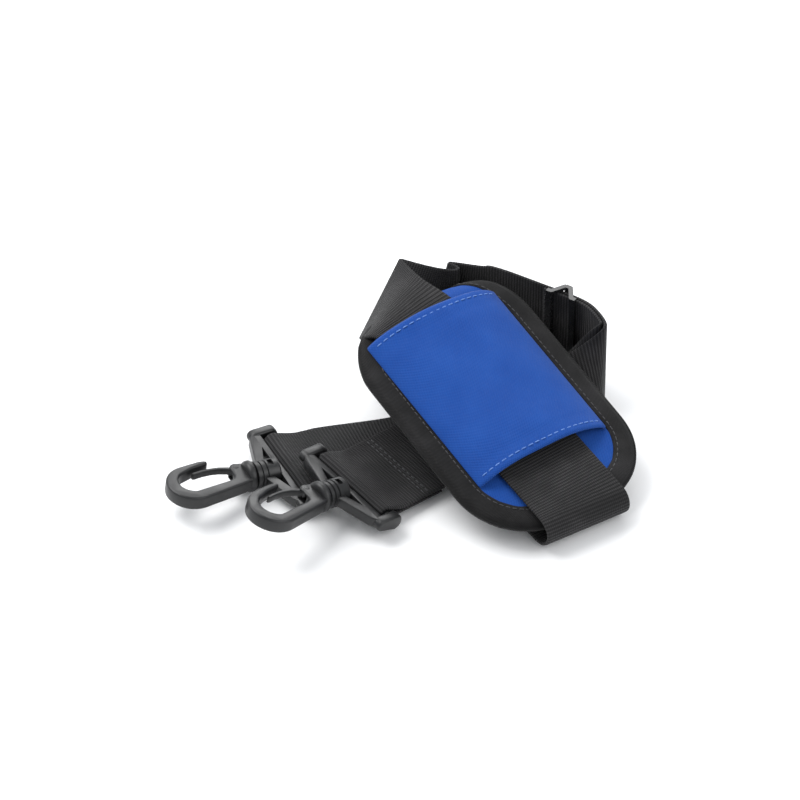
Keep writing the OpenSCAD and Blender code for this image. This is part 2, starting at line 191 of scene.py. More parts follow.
def straight(a, b):
    """Rows from a to b, without a."""
    length = np.linalg.norm((b - a).mean(0))
    if length < SHORTEST_RUN:
        return []
    count = max(1, math.ceil(length / RUN_STEP))
    return [a + (b - a) * k / count for k in range(1, count + 1)]


def rounded_run(edges, caps):
    """Pairs of selvedge points along the run, with each station rounded off over at most its cap."""
    edges = np.array(edges, float)
    spans = np.linalg.norm(np.diff(edges.mean(1), axis=0), axis=1)
    rows = [edges[0]]
    for i in range(1, len(edges) - 1):
        before = edges[i] + (edges[i - 1] - edges[i]) * min(0.5, caps[i] / spans[i - 1])
        after = edges[i] + (edges[i + 1] - edges[i]) * min(0.5, caps[i] / spans[i])
        rows += straight(rows[-1], before)
        for k in range(1, TURN_STEPS + 1):
            t = k / TURN_STEPS
            rows.append((1 - t) ** 2 * before + 2 * t * (1 - t) * edges[i] + t * t * after)
    rows += straight(rows[-1], edges[-1])
    return np.array(rows)


# ---- materials -------------------------------------------------------------------
# pitches of the weaves, in metres
RIB_PITCH, CORD_PITCH = 0.00165, 0.0011
TWILL_PITCH, TWILL_CROSS_PITCH = 0.0011, 0.0006
CANVAS_PITCH = 0.0012


class Nodes:
    """A material's node tree with short calls."""

    def __init__(self, name):
        self.material = bpy.data.materials.new(name)
        self.material.use_nodes = True
        self.tree = self.material.node_tree
        self.shader = self.tree.nodes["Principled BSDF"]

    def add(self, kind, **settings):
        node = self.tree.nodes.new(kind)
        for key, value in settings.items():
            setattr(node, key, value)
        return node

    def link(self, source, target):
        if isinstance(source, (int, float)):
            target.default_value = source
        else:
            self.tree.links.new(source, target)

    def math(self, operation, a, b=0.0):
        node = self.add("ShaderNodeMath", operation=operation)
        self.link(a, node.inputs[0])
        self.link(b, node.inputs[1])
        return node.outputs[0]

    def wave(self, coordinate, pitch):
        """A sine of the coordinate with the given pitch in metres."""
        return self.math("SINE", self.math("MULTIPLY", coordinate, 2 * math.pi / pitch))

    def noise(self, scale, detail=4.0):
        """Soft noise through the piece, by the piece's own coordinates."""
        node = self.add("ShaderNodeTexNoise")
        node.inputs["Scale"].default_value = scale
        node.inputs["Detail"].default_value = detail
        self.link(self.add("ShaderNodeTexCoord").outputs["Object"], node.inputs["Vector"])
        return node.outputs["Fac"]

    def flat(self):
        """The two flat coordinates of a cloth, in metres."""
        node = self.add("ShaderNodeSeparateXYZ")
        self.link(self.add("ShaderNodeUVMap", uv_map="flat").outputs["UV"], node.inputs[0])
        return node.outputs[0], node.outputs[1]

    def ramp(self, value, stops):
        node = self.add("ShaderNodeValToRGB")
        elements = node.color_ramp.elements
        while len(elements) < len(stops):
            elements.new(0.5)
        for element, (position, colour) in zip(elements, stops):
            element.position = position
            element.color = (*colour, 1)
        self.link(value, node.inputs[0])
        return node.outputs[0]

    def remap(self, value, low, high, to_low, to_high):
        node = self.add("ShaderNodeMapRange")
        for socket, number in zip(node.inputs[1:5], (low, high, to_low, to_high)):
            socket.default_value = number
        self.link(value, node.inputs[0])
        return node.outputs[0]

    def bump(self, height, distance, strength, below=None):
        node = self.add("ShaderNodeBump")
        node.inputs["Distance"].default_value = distance
        node.inputs["Strength"].default_value = strength
        self.link(height, node.inputs["Height"])
        if below is not None:
            self.link(below, node.inputs["Normal"])
        return node.outputs[0]

    def done(self, colour, roughness, normal, sheen=0.0, specular=0.5):
        self.link(colour, self.shader.inputs["Base Color"])
        self.link(roughness, self.shader.inputs["Roughness"])
        self.link(normal, self.shader.inputs["Normal"])
        self.shader.inputs["Sheen Weight"].default_value = sheen
        self.shader.inputs["Sheen Roughness"].default_value = 0.4
        self.shader.inputs["Specular IOR Level"].default_value = specular
        return self.material


def webbing_material():
    """Black webbing with wandering ribs across it and finer cords along it."""
    n = Nodes("webbing_weave")
    across, along = n.flat()
    wander = n.math("MULTIPLY", n.noise(scale=60, detail=2), 0.0006)
    ribs = n.wave(n.math("ADD", along, wander), RIB_PITCH)
    cords = n.wave(across, CORD_PITCH)
    height = n.math("ADD", ribs, n.math("MULTIPLY", cords, 0.45))
    patch = n.noise(scale=35)
    tone = n.math("ADD", n.math("MULTIPLY", height, 0.16), patch)
    colour = n.ramp(tone, [(0.25, (0.004, 0.004, 0.0043)), (0.6, (0.0165, 0.016, 0.0167)),
                           (0.85, (0.046, 0.0445, 0.046))])
    normal = n.bump(n.noise(scale=2600, detail=2), 0.00008, 0.5, n.bump(height, 0.0002, 0.7))
    return n.done(colour, n.remap(patch, 0.3, 0.7, 0.62, 0.82), normal, sheen=0.06, specular=0.22)


def twill_material(name, light):
    """Black cloth with diagonal lines; light scales its colours."""
    n = Nodes(name)
    across, along = n.flat()
    lines = n.wave(n.math("ADD", across, along), TWILL_PITCH)
    cross = n.wave(n.math("SUBTRACT", along, across), TWILL_CROSS_PITCH)
    height = n.math("ADD", lines, n.math("MULTIPLY", cross, 0.3))
    tone = n.math("ADD", n.math("MULTIPLY", height, 0.14), n.noise(scale=45))
    colour = n.ramp(tone, [(0.25, (0.0025 * light, 0.0024 * light, 0.0025 * light)),
                           (0.6, (0.009 * light, 0.0087 * light, 0.009 * light)),
                           (0.85, (0.024 * light, 0.023 * light, 0.0245 * light))])
    normal = n.bump(height, 0.00014, 0.6)
    return n.done(colour, n.remap(n.noise(scale=80), 0.3, 0.7, 0.66, 0.86), normal, sheen=0.05, specular=0.2)


def canvas_material():
    """Blue plain weave, a little faded in patches, with soft puckers."""
    n = Nodes("blue_canvas")
    across, along = n.flat()
    weave = n.math("MULTIPLY", n.wave(across, CANVAS_PITCH), n.wave(along, CANVAS_PITCH))
    slub = n.noise(scale=700, detail=3)
    height = n.math("ADD", weave, n.math("MULTIPLY", slub, 0.8))
    soft = n.noise(scale=48, detail=3)
    fading = n.remap(soft, 0.3, 0.7, 0.46, 0.58)
    tone = n.math("ADD", n.math("MULTIPLY", height, 0.13), fading)
    colour = n.ramp(tone, [(0.2, (0.0045, 0.03, 0.165)), (0.52, (0.0075, 0.051, 0.255)),
                           (0.85, (0.016, 0.084, 0.35))])
    puckers = n.bump(soft, 0.0012, 0.16)
    normal = n.bump(height, 0.00016, 0.55, puckers)
    return n.done(colour, n.remap(slub, 0.3, 0.7, 0.7, 0.9), normal, sheen=0.06, specular=0.15)


def thread_material(name, dark, light):
    n = Nodes(name)
    strands = n.noise(scale=1800, detail=2)
    colour = n.ramp(strands, [(0.3, dark), (0.7, light)])
    rough = n.remap(strands, 0.3, 0.7, 0.5, 0.75)
    return n.done(colour, rough, n.bump(strands, 0.0001, 0.6), sheen=0.2)


def plastic_material(name, level, roughness):
    """Moulded dark plastic with a cloudy surface and faint scuffs."""
    n = Nodes(name)
    cloud = n.noise(scale=90, detail=5)
    scuff = n.noise(scale=420, detail=6)
    colour = n.ramp(n.math("ADD", n.math("MULTIPLY", scuff, 0.5), n.math("MULTIPLY", cloud, 0.5)),
                    [(0.35, tuple(level * c for c in (0.9, 0.92, 0.98))),
                     (0.55, tuple(level * c for c in (1.1, 1.12, 1.18))),
                     (0.75, tuple(level * c for c in (1.7, 1.72, 1.8)))])
    rough = n.remap(cloud, 0.3, 0.7, roughness - 0.06, roughness + 0.1)
    normal = n.bump(n.noise(scale=1500, detail=3), 0.00006, 0.35)
    return n.done(colour, rough, normal, specular=0.45)


WEBBING = webbing_material()
TWILL = twill_material("binding_twill", 1.0)
BACKING = twill_material("backing_weave", 1.3)
CANVAS = canvas_material()
THREAD_BLUE = thread_material("thread_blue", (0.035, 0.11, 0.38), (0.11, 0.24, 0.58))
THREAD_BLACK = thread_material("thread_black", (0.012, 0.012, 0.014), (0.05, 0.05, 0.055))
PLASTIC = plastic_material("hook_plastic", 0.0085, 0.36)
GLOSS_PLASTIC = plastic_material("adjuster_plastic", 0.0085, 0.2)


# ---- strap -----------------------------------------------------------------------
# behind each bar: the last flat station, where the rise starts, and the first risen station
LAST_FLAT, RISE_FROM, FIRST_RISEN = 12.0, 13.0, 17.0
WRAP_ANGLES = (-78, -282)
# how far from a station its rounding may start
SOFT_TURN, TIGHT_TURN, CREST_TURN = 14.0, 2.5, 10.0
END_FOLD_ANGLES = (98, 270)
END_FOLD_SKEW = 2.4


def heap_edges(edges):
    return [[placed(HEAP, low), placed(HEAP, high)] for low, high in edges]


def swapped(edges):
    return [[high, low] for low, high in edges]


def bar_edges(matrix, path):
    """Edges across the strap from a path in a hook frame's own plane, from the bar's centre."""
    half = WEB_WIDTH / 2
    return [[placed(matrix, (BAR_BACK + x, side, z)) for side in (-half, half)] for x, z in path]


def bar_loop(lower, upper, rise):
    """Path round a bar: in along the lower layer, round the bar and out along the upper layer."""
    wrap = [(LOOP_R * math.cos(math.radians(a)), LOOP_R * math.sin(math.radians(a)))
            for a in np.linspace(*WRAP_ANGLES, 13)]
    lower_reach = (lower, (lower + FIRST_RISEN) / 2, FIRST_RISEN)
    upper_reach = (FIRST_RISEN, (upper + FIRST_RISEN) / 2, upper)
    below = [(x, rise * (x - RISE_FROM) - LAY) for x in lower_reach] + [(LAST_FLAT, -LAY)]
    above = [(LAST_FLAT, LAY)] + [(x, rise * (x - RISE_FROM) + LAY) for x in upper_reach]
    return below + wrap + above


# the standing pass behind the pad in plan, the free tail's end beside it, and the tail's own last turn
REAR_PATH = [(45.8, 47.9), (56, 43), (67.5, 36), (79.2, 29), (93.5, 20.3), (99.2, 15), (103, 8.6),
             (105.6, 2.6), (106.4, -1.2), (105.4, -4.2)]
TAIL_AT = 3
TAIL = (75.27, 28.69)
TAIL_END = [(103.8, 0.6), (103.1, -1)]
# the other runs as pairs of selvedge points: low or near selvedge first
OUTER_RUN = [[(105.8, -15, 2.6), (99, -2, 43)], [(98.6, -31, 4.4), (86, 3, 27)],
             [(69, -37, 4.2), (52, 7, 5.6)], [(38, -54, 3.5), (21, -9, 3.5)], [(7, -64, 3.3), (-5, -19, 3.3)]]
INNER_RUN = [[(103.4, -10.8, 2.2), (96.4, 2.6, 42.6)], [(96.4, -29.4, 1.6), (85.6, 5.8, 24.2)],
             [(69, -37, 1.1), (52, 7, 2.4)], [(38, -54, 1.1), (21, -9, 1.1)], [(7, -64, 1.1), (-5, -19, 1.1)]]
RETURN_RUN = [[(44.5, 48.4, 1), (44.5, 48.4, 50.4)], [(10, 57, 4), (23.3, 54.2, 50)],
              [(27, 49.8, 1.6), (29.5, 50.2, 50)], [(29.5, 47, 1.6), (31, 48, 50)],
              [(26, 45.2, 1.6), (28, 46.2, 50)]]
BEHIND_RUN = [[(-1, 32, 12), (18, 48.4, 50)], [(-21, 17.2, 26.8), (-0.2, 52.1, 53.4)]]
CREST_ON_PAD = [(-39, 54, 2.7), (10.5, 72.5, 1.3)]
UNDER_RUN = [[(89.8, -58.7, 11.4), (49, -87.5, 7.6)], [(75.4, -27.9, 15.2), (8.6, -20.1, 15)],
             [(76, -25.4, 13.4), (9.2, -17.6, 13)], [(75.4, -27.9, 11.4), (8.6, -20.1, 11)],
             [(40, -59, 7), (5, -23.4, 10.6)]]


def beside(path, i, distance):
    """The point that far to the left of a plan path's station."""
    heading = np.array(path[min(i + 1, len(path) - 1)]) - np.array(path[max(i - 1, 0)])
    heading = heading / np.linalg.norm(heading)
    return path[i][0] - distance * heading[1], path[i][1] + distance * heading[0]


def standing(path):
    return [[(x, y, STAND_LOW), (x, y, STAND_HIGH)] for x, y in path]


def strap_edges(stations, skew=0.0):
    """Edges across the strap on the pad; skew moves its left selvedge up the pad and its right one down."""
    half = WEB_WIDTH / 2
    return [[placed(STRAP, (side * half, y - side * skew, z)) for side in (-1, 1)] for y, z in stations]


def strap_stations():
    """Edges of the whole strap from its free tail to the sewn end, and how far each is rounded off."""
    inner = [TAIL] + [beside(REAR_PATH, i, -NEST) for i in range(TAIL_AT, 8)] + TAIL_END
    edges = heap_edges(standing(inner) + INNER_RUN)
    edges += bar_edges(REAR, bar_loop(REAR_REACH, REAR_REACH, REAR_RISE))
    edges += heap_edges(OUTER_RUN[::-1] + standing(REAR_PATH[::-1]) + RETURN_RUN + BEHIND_RUN)
    crest = len(edges)
    edges += [[placed(PAD, point) for point in CREST_ON_PAD]]
    over = [(y, TOP_GAP) for y in (PAD_CREST - 3, PAD_CREST - 30, 0, -PAD_LOW + 40, -PAD_LOW + 8)]
    edges += strap_edges(over)
    end_angles = [math.radians(a) for a in np.linspace(*END_FOLD_ANGLES, 11)]
    end_fold = [(FOLD_AT + FOLD_R * math.cos(a), TOP_GAP - FOLD_R + FOLD_R * math.sin(a)) for a in end_angles]
    edges += strap_edges(end_fold, END_FOLD_SKEW)
    edges += swapped(heap_edges(UNDER_RUN))
    edges += swapped(bar_edges(FRONT, bar_loop(TURNBACK, FRONT_REACH, FRONT_RISE))[::-1])
    caps = [SOFT_TURN] * len(edges)
    caps[crest - 1] = TIGHT_TURN
    caps[crest] = CREST_TURN
    return edges, caps


# stations across the strap, closest at the selvedges, and the width over which a selvedge thins
STRAP_SHARES = np.array([0, 0.006, 0.018, 0.05, 0.15, 0.28, 0.42, 0.58, 0.72, 0.85, 0.95, 0.982, 0.994, 1])
SELVEDGE = 0.8


def make_strap():
    """The webbing, thinning to a rounded selvedge at each side, and its length."""
    rows = rounded_run(*strap_stations())
    share = STRAP_SHARES
    edge_distance = np.minimum(share, 1 - share) * WEB_WIDTH
    swell = np.sqrt(np.clip(1 - (1 - np.minimum(edge_distance / SELVEDGE, 1)) ** 2 * 0.9, 0.05, 1))
    grid = rows[:, :1] * (1 - share)[None, :, None] + rows[:, 1:] * share[None, :, None]
    half = np.tile(WEB_THICK / 2 * swell, (len(rows), 1))
    along = distances(rows.mean(1))
    flat = np.stack(np.meshgrid(share * WEB_WIDTH, along), -1)
    points, faces, uv = slab(grid, half, flat)
    strap = new_piece("strap_webbing", points, faces, [WEBBING], uv)
    finish_piece(strap, "strap", "webbing", "webbing_front_end", "webbing_front_run", "webbing_under_run",
                 "webbing_over_pad", "webbing_rear_fold", "webbing_rear_pass", "webbing_outer_run",
                 "webbing_rear_end", "webbing_inner_run", "webbing_return_tail")
    return strap, along[-1]


# ---- stitches --------------------------------------------------------------------
# a stitch's rings: share of its length, share of its radius and height in radii
THREAD_RINGS = [(0.0, 0.45, -0.5), (0.12, 0.85, 0.05), (0.5, 1.0, 0.25), (0.88, 0.85, 0.05),
                (1.0, 0.45, -0.5)]
THREAD_SIDES = 6
THREAD_FLATNESS = 0.75
STITCH_JITTER = 0.12
# each kind of stitch: its length, its pitch and its thread's radius
TURNBACK_STITCH = (2.6, 3.6, 0.34)
TAIL_STITCH = (2.2, 3.0, 0.3)
BINDING_STITCH = (2.6, 3.5, 0.3)
HEM_STITCH = (2.9, 4.1, 0.36)
TURNBACK_ROWS = (0.0, 2.4)
TURNBACK_ROW_HALF = 23
# the tail's box of stitches: distance from its end and height
TAIL_BOX = [(0.7, 5.5), (0.7, 49.5), (2.3, 49.5), (2.3, 5.5), (0.7, 5.5)]


def dash_mesh(start, end, normal, radius):
    """A short thread between two holes in the cloth: points and faces of a tapered tube."""
    sides = THREAD_SIDES
    ahead = unit(end - start)
    normal = unit(normal - ahead * np.dot(normal, ahead))
    across = np.cross(ahead, normal)
    points, faces = [], []
    for share, size, lift in THREAD_RINGS:
        centre = start + (end - start) * share + normal * radius * lift
        for k in range(sides):
            a = 2 * math.pi * k / sides
            outward = math.cos(a) * across + THREAD_FLATNESS * math.sin(a) * normal
            points.append(centre + radius * size * outward)
    for i in range(len(THREAD_RINGS) - 1):
        for k in range(sides):
            a, b = i * sides + k, i * sides + (k + 1) % sides
            faces.append((a, b, b + sides, a + sides))
    faces.append(tuple(range(sides))[::-1])
    faces.append(tuple(range((len(THREAD_RINGS) - 1) * sides, len(THREAD_RINGS) * sides)))
    return points, faces


def stitch_row(path, normals, dash, pitch, radius):
    """Points and faces of a row of stitches along a path on the cloth."""
    path, normals = np.array(path), np.array(normals)
    reach = distances(path)

    def at(values, distance):
        return np.array([np.interp(distance, reach, values[:, c]) for c in range(3)])

    points, faces = [], []
    count = int((reach[-1] - dash) / pitch) + 1
    first = (reach[-1] - (count - 1) * pitch - dash) / 2
    for i in range(count):
        s = first + i * pitch + random.uniform(-STITCH_JITTER, STITCH_JITTER)
        s = min(max(s, 0.0), reach[-1] - dash)
        normal = at(normals, s + dash / 2)
        new_points, new_faces = dash_mesh(at(path, s), at(path, s + dash), normal, radius)
        faces += [tuple(len(points) + v for v in face) for face in new_faces]
        points += new_points
    return points, faces


def stitches(name, rows, material, body, slot, node):
    """One piece of thread from rows of stitches."""
    points, faces = [], []
    for path, normals, dash, pitch, radius in rows:
        new_points, new_faces = stitch_row(path, normals, dash, pitch, radius)
        faces += [tuple(len(points) + v for v in face) for face in new_faces]
        points += new_points
    return finish_piece(new_piece(name, points, faces, [material]), body, slot, node)


def strap_stitches():
    """The rows across the front turn-back and the box on the free tail."""
    height = FRONT_RISE * (STITCH_BACK - RISE_FROM) + LAY + WEB_THICK / 2
    normal = placed(FRONT.to_3x3().to_4x4(), (-FRONT_RISE, 0, 1))
    rows = []
    for back in TURNBACK_ROWS:
        x, z = BAR_BACK + STITCH_BACK + back, height + FRONT_RISE * back
        path = [placed(FRONT, (x, y, z)) for y in (-TURNBACK_ROW_HALF, TURNBACK_ROW_HALF)]
        rows.append((path, [normal, normal], *TURNBACK_STITCH))
    front = stitches("turnback_stitches", rows, THREAD_BLACK, "strap", "thread_black",
                     "front_turnback_stitching")
    second = beside(REAR_PATH, TAIL_AT, -NEST)
    away = unit(np.array(second) - np.array(TAIL))
    out = np.array([away[1], -away[0], 0])
    start = np.array([*TAIL, 0.0]) + np.array(ORIGIN_SHIFT) + out * WEB_THICK / 2
    box = [start + np.array([away[0] * d, away[1] * d, z]) for d, z in TAIL_BOX]
    tail = stitches("tail_stitches", [(box, [out] * len(box), *TAIL_STITCH)], THREAD_BLACK, "strap",
                    "thread_black", "tail_box_stitching")
    return [front, tail]


# ---- pad -------------------------------------------------------------------------
PAD_MID = -3.82
# the pad's half thickness at each distance in from its edge, then towards the spine by shares
RINGS = [(0, 0), (0.5, 1.3), (1.4, 2.0), (3, 2.35), (5.5, 2.65), (8.5, 2.95), (12, 3.2), (16, 3.55),
         (20, 3.9), (25, 4.15)]
MIDDLE_RINGS = [(0.25, 4.3), (0.5, 4.35), (0.75, 4.4), (1.0, 4.4)]
MIDDLE_INSET = 40
SPINE = (-50, 52)
OUTLINE_SMOOTHING = 3
# the upper side's stations up the pad, then the bent end's stations and shares of the last width
SIDE_STATIONS = [33, 40, 46, 51, 56, 61, 66, 71]
END_TAPER = [(77, 0.87), (81.5, 0.66), (83.6, 0.38), (84.2, 0.0)]
# where insets start to shrink, over what length, and by how much
NARROW_FROM, NARROW_OVER, NARROW_LOSS = 45, 25, 0.5
OUTLINE_POINTS = 260
# puckers beside the binding: their lengths round the pad, depth, place in from the edge and width
PUCKER_LENGTHS = (2.1, 3.3, 5.2)
PUCKER_DEPTH, PUCKER_AT, PUCKER_WIDTH = 0.28, 12, 4.5
# the panels' unevenness: depth, lengths across and along, and the inset it starts at
SAG_DEPTH, SAG_ACROSS, SAG_ALONG, SAG_FROM = 0.25, 17, 23, 20


def upper_side(corner):
    """Half of the flat pad's outline from where its side starts to curve to the middle of its bent end."""
    points = []
    for s in SIDE_STATIONS:
        y = s if s < PAD_CREST else PAD_CREST + DROOP_R * math.sin((s - PAD_CREST) / DROOP_R)
        drop = y - (PAD_CREST + DROOP_R + 4 - corner)
        points.append((PAD_HALF - corner + math.sqrt(corner ** 2 - max(drop, 0) ** 2), s))
    return points + [(points[-1][0] * share, s) for s, share in END_TAPER]


def bent(x, s, z):
    """A point of the flat pad in the row frame; the upper end bends down beyond the crest."""
    if s <= PAD_CREST:
        return placed(PAD, (x, s, z))
    angle = min((s - PAD_CREST) / DROOP_R, DROOP_TURN)
    beyond = max(s - PAD_CREST - DROOP_R * DROOP_TURN, 0)
    y = PAD_CREST + (DROOP_R + z) * math.sin(angle) + beyond * math.cos(angle)
    return placed(PAD, (x, y, -DROOP_R + (DROOP_R + z) * math.cos(angle) - beyond * math.sin(angle)))


def pad_outline(count):
    """The flat pad's outline, evenly spaced and anticlockwise from the middle of its lower end."""
    corner = plan_arc((PAD_HALF - PAD_CORNER, -PAD_LOW + PAD_CORNER), PAD_CORNER, -90, 0, 16)
    lower = [(0, -PAD_LOW)] + corner
    right = lower + upper_side(PAD_CORNER)
    left = lower + upper_side(PAD_CORNER_FAR)
    loop = np.array(right + [(-x, s) for x, s in left[-2::-1]], float)
    reach = distances(loop)
    even = np.linspace(0, reach[-1], count, endpoint=False)
    points = np.stack([np.interp(even, reach, loop[:, c]) for c in (0, 1)], -1)
    for _ in range(OUTLINE_SMOOTHING):
        points = (np.roll(points, 1, 0) + 2 * points + np.roll(points, -1, 0)) / 4
    ahead = unit(np.roll(points, -1, 0) - np.roll(points, 1, 0))
    inward = np.stack([-ahead[:, 1], ahead[:, 0]], -1)
    return points, inward, even


def inset_share(s):
    """How much of a full inset is used: less round the narrow bent end."""
    return 1 - NARROW_LOSS * min(max((s - NARROW_FROM) / NARROW_OVER, 0), 1)


OUTLINE, INWARD, AROUND = pad_outline(OUTLINE_POINTS)
NARROW = np.array([inset_share(s) for s in OUTLINE[:, 1]])


def inset(distance):
    """The pad's outline moved in by the distance."""
    return OUTLINE + INWARD * (distance * NARROW)[:, None]


def swell_at(distance):
    """The pad's half thickness that far in from its edge."""
    return float(np.interp(distance, [r[0] for r in RINGS], [r[1] for r in RINGS]))


def pad_layers():
    """Each ring of the pad's faces: its plan, half thickness and inset."""
    layers = [(inset(d), thick, d) for d, thick in RINGS]
    last = layers[-1][0]
    spine = np.stack([np.zeros(len(OUTLINE)), np.clip(last[:, 1], *SPINE)], -1)
    for share, thick in MIDDLE_RINGS:
        layers.append((last * (1 - share) + spine * share, thick, MIDDLE_INSET))
    return layers


def is_back(face, to_pad):
    """Whether a face of the pad is on its black back panel."""
    centre = to_pad @ (face.center / MM)
    normal = to_pad.to_3x3() @ face.normal
    if centre.y < PAD_CREST:
        return centre.z < PAD_MID
    return normal.z < 0 and normal.y < 0.2


def make_pad():
    """Foam, top panel and back panel as one cushion with puckers beside the binding."""
    count = len(OUTLINE)
    layers = pad_layers()
    points, flat = [], []
    phases = [random.uniform(0, FULL_TURN) for _ in PUCKER_LENGTHS]
    for side_sign in (1, -1):
        for plan, thick, d in layers:
            for i, (x, s) in enumerate(plan):
                waves = [math.sin(AROUND[i] / length + p) for length, p in zip(PUCKER_LENGTHS, phases)]
                pucker = sum(waves) / len(waves)
                pucker *= PUCKER_DEPTH * math.exp(-((d - PUCKER_AT) / PUCKER_WIDTH) ** 2)
                sag = SAG_DEPTH * math.sin(x / SAG_ACROSS + 1.3) * math.sin(s / SAG_ALONG + 0.4)
                z = PAD_MID + side_sign * (thick + pucker) + (sag if d > SAG_FROM else 0)
                points.append(bent(x, s, z))
                flat.append((x, s))
    faces = []
    for base in (0, len(layers) * count):
        for k in range(len(layers) - 1):
            for i in range(count):
                a, b = base + k * count + i, base + k * count + (i + 1) % count
                faces.append((a, b, b + count, a + count))
    pad = new_piece("pad_cushion", points, faces, [CANVAS, BACKING], flat)
    to_pad = PAD.inverted()
    for face in pad.data.polygons:
        face.material_index = int(is_back(face, to_pad))
    finish_piece(pad, "pad", "fabric_blue", "pad_foam", "pad_top_panel", "pad_back_panel")


# the tape's section over the pad: distance in from the pad's edge and lift over the pad's own swell
BINDING = [(11.5, 0.15), (11.1, 0.6), (9, 0.75), (6.8, 0.8), (4.6, 0.85), (2.6, 0.9), (1.0, 1.0), (0.1, 1.0)]
# its turn round the edge: distance in and height
BINDING_EDGE = [(-0.75, 1.6), (-1.05, 0)]
# two ripples of the tape: depth, length and phase
BINDING_RIPPLES = [(0.12, 2.4, 0), (0.1, 3.9, 1)]
RIPPLE_FROM, RIPPLE_OVER = 3, 6
BINDING_SEAM = 9.3
SEAM_LIFT = 0.78


def make_binding():
    """Tape folded round the pad's edge: one closed tube of flattened section."""
    outer = [(d, swell_at(d) + lift) for d, lift in BINDING] + BINDING_EDGE
    outer += [(d, -z) for d, z in outer[-2::-1]]
    upper = [(d + 0.1, swell_at(d) + 0.02) for d, _ in BINDING]
    inner = upper + [(d, -z) for d, z in upper[::-1]]
    section = outer + inner[::-1]
    lengths = distances(section)
    count, size = len(OUTLINE), len(section)
    points, flat = [], []
    for k, (d, z) in enumerate(section):
        plan = inset(d)
        for i in range(count):
            ripple = sum(depth * math.sin(AROUND[i] / length + p) for depth, length, p in BINDING_RIPPLES)
            lift = ripple * min(max((d - RIPPLE_FROM) / RIPPLE_OVER, 0), 1) * (1 if z > 0 else -1)
            points.append(bent(plan[i][0], plan[i][1], PAD_MID + z + lift))
            flat.append((lengths[k], AROUND[i]))
    faces = [(k * count + i, k * count + (i + 1) % count, (k + 1) % size * count + (i + 1) % count,
              (k + 1) % size * count + i) for k in range(size) for i in range(count)]
    finish_piece(new_piece("pad_binding", points, faces, [TWILL], flat), "pad", "binding", "pad_edge_binding")
    plan = inset(BINDING_SEAM)
    height = PAD_MID + swell_at(BINDING_SEAM) + SEAM_LIFT
    path = [bent(x, s, height) for x, s in plan]
    over = [bent(x, s, height + 1) - p for (x, s), p in zip(plan, path)]
    row = (path + path[:1], over + over[:1], *BINDING_STITCH)
    stitches("binding_stitches", [row], THREAD_BLACK, "pad", "thread_black", "binding_stitching")


# ---- sleeve ----------------------------------------------------------------------
# the hem: its depth, stations in from the end on the face and underneath, and its seam
HEM = 9.0
HEM_STATIONS = np.array([0.7, 2, 4, 6.5, HEM, HEM + 1.5])
HEM_RETURN = np.array([HEM, HEM * 0.6, HEM * 0.25, 0.7])
HEM_LAP = -SLEEVE_THICK - 0.06
HEM_SEAM = 3.2
HEM_RIDGE, RIDGE_WIDTH = 0.3, 1.4
SEAM_HALF = 0.93
SEAM_POINTS = 90
SLEEVE_END = SLEEVE_REACH - 0.6
SLEEVE_END_TURN = 0.35
# the arch: height at the sides, at the top, and how much lower its middle hangs
SLEEVE_LOW = 0.25
SLEEVE_TOP = SLEEVE_CROWN - 0.5
SLEEVE_SLACK = 0.9
WIDE_WAVE, NARROW_WAVE = 0.22, 0.16
# the grid: columns, rows between the hems and where they start, and the row measured for the flat width
SLEEVE_COLUMNS = 61
SLEEVE_MIDDLE_ROWS = 28
SLEEVE_MIDDLE_IN = 13
SLEEVE_ROW_MEASURED = 20
SHARE_STEP = 0.004


def sleeve_height(share, y):
    """Height of the sleeve's middle surface above the pad, with a slightly slacker middle."""
    crown = SLEEVE_TOP - SLEEVE_SLACK * math.cos(math.pi * y / (2 * SLEEVE_REACH)) ** 2
    return SLEEVE_LOW + crown * (1 - abs(share) ** 2.5) ** 0.8


def sleeve_point(share, y, lift):
    """A point lifted off the sleeve's middle surface; share runs from -1 to 1 across it."""
    near, far = max(share - SHARE_STEP, -1), min(share + SHARE_STEP, 1)
    tilt = math.atan((sleeve_height(far, y) - sleeve_height(near, y)) / (SLEEVE_HALF * (far - near)))
    x = SLEEVE_HALF * share + SLEEVE_SIDE - lift * math.sin(tilt)
    return placed(PAD, (x, y + SLEEVE_DOWN, sleeve_height(share, y) + lift * math.cos(tilt)))


def sleeve_path():
    """The sleeve's stations along the pad with their lift: hem, cloth, hem."""
    end = SLEEVE_END
    path = [(-end + y, HEM_LAP) for y in HEM_RETURN] + [(-end - SLEEVE_END_TURN, HEM_LAP / 2)]
    middle = np.linspace(-end + SLEEVE_MIDDLE_IN, end - SLEEVE_MIDDLE_IN, SLEEVE_MIDDLE_ROWS)
    path += [(y, 0.0) for y in np.concatenate([-end + HEM_STATIONS, middle, end - HEM_STATIONS[::-1]])]
    path += [(end + SLEEVE_END_TURN, HEM_LAP / 2)]
    return path + [(end - y, HEM_LAP) for y in HEM_RETURN[::-1]]


